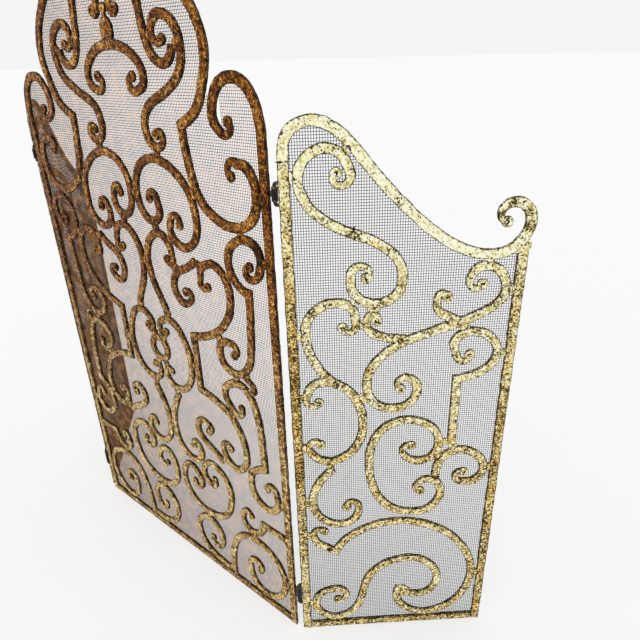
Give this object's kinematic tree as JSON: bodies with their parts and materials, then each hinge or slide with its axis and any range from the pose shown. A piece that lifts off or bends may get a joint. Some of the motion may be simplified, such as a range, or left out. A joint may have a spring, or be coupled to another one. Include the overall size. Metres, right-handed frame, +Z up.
{
  "type": "fireplace screen",
  "caption": "Three-panel folding fireplace screen: gilded iron scrollwork over black woven wire, tall arched centre panel, lower swept wings on pin hinges.",
  "frame": {"origin": "middle of the underside of the centre panel's bottom rail, on the floor", "axes": "+X to the right as seen from the front, along the centre panel; the decorated front faces -Y and the wings fold back towards +Y; +Z up"},
  "size_m": [1.0314, 0.212, 1.017],
  "materials": {
    "wing_gilding": "pale gold leaf over iron, speckled with dark patina",
    "centre_gilding": "copper gold over iron, worn to brown and black",
    "wire_cloth": "satin black wire",
    "hinge_iron": "black painted iron"
  },
  "bodies": {
    "centre": {"centre_arch_scroll_left": "centre_gilding", "centre_arch_scroll_right": "centre_gilding", "centre_bottom_rail": "centre_gilding", "centre_cloud_left": "centre_gilding", "centre_cloud_right": "centre_gilding", "centre_crown": "centre_gilding", "centre_crown_boss": "centre_gilding", "centre_crown_leaf": "centre_gilding", "centre_double_c": "centre_gilding", "centre_great_c_left": "centre_gilding", "centre_great_c_right": "centre_gilding", "centre_heart": "centre_gilding", "centre_low_double": "centre_gilding", "centre_low_heart": "centre_gilding", "centre_main_arch": "centre_gilding", "centre_medallion": "centre_gilding", "centre_side_low_left": "centre_gilding", "centre_side_low_right": "centre_gilding", "centre_side_scroll_left": "centre_gilding", "centre_side_scroll_right": "centre_gilding", "centre_step_scroll_left": "centre_gilding", "centre_step_scroll_right": "centre_gilding", "centre_stile_left": "centre_gilding", "centre_stile_right": "centre_gilding", "centre_wire_sheet": "wire_cloth", "hinge_barrel_left_lower": "hinge_iron", "hinge_barrel_left_upper": "hinge_iron", "hinge_barrel_right_lower": "hinge_iron", "hinge_barrel_right_upper": "hinge_iron"},
    "wing_right": {"hinge_pin_right_lower": "hinge_iron", "hinge_pin_right_upper": "hinge_iron", "wing_right_bottom_rail": "wing_gilding", "wing_right_crest": "wing_gilding", "wing_right_great_scroll": "wing_gilding", "wing_right_hinge_stile": "wing_gilding", "wing_right_inner_wave": "wing_gilding", "wing_right_long_scroll": "wing_gilding", "wing_right_lower_scroll": "wing_gilding", "wing_right_middle_scroll": "wing_gilding", "wing_right_outer_stile": "wing_gilding", "wing_right_square_scroll": "wing_gilding", "wing_right_upper_scroll": "wing_gilding", "wing_right_wave": "wing_gilding", "wing_right_wire_sheet": "wire_cloth"},
    "wing_left": {"hinge_pin_left_lower": "hinge_iron", "hinge_pin_left_upper": "hinge_iron", "wing_left_bottom_rail": "wing_gilding", "wing_left_crest": "wing_gilding", "wing_left_great_scroll": "wing_gilding", "wing_left_hinge_stile": "wing_gilding", "wing_left_inner_wave": "wing_gilding", "wing_left_long_scroll": "wing_gilding", "wing_left_lower_scroll": "wing_gilding", "wing_left_middle_scroll": "wing_gilding", "wing_left_outer_stile": "wing_gilding", "wing_left_square_scroll": "wing_gilding", "wing_left_upper_scroll": "wing_gilding", "wing_left_wave": "wing_gilding", "wing_left_wire_sheet": "wire_cloth"}
  },
  "joints": [
    {"name": "wing_right_fold", "type": "hinge", "parent": "centre", "child": "wing_right", "pos_m": [0.285, 0, 0], "axis": [0, 0, 1], "range_deg": [-180, 96]},
    {"name": "wing_left_fold", "type": "hinge", "parent": "centre", "child": "wing_left", "pos_m": [-0.285, 0, 0], "axis": [0, 0, -1], "range_deg": [-180, 96]}
  ]
}
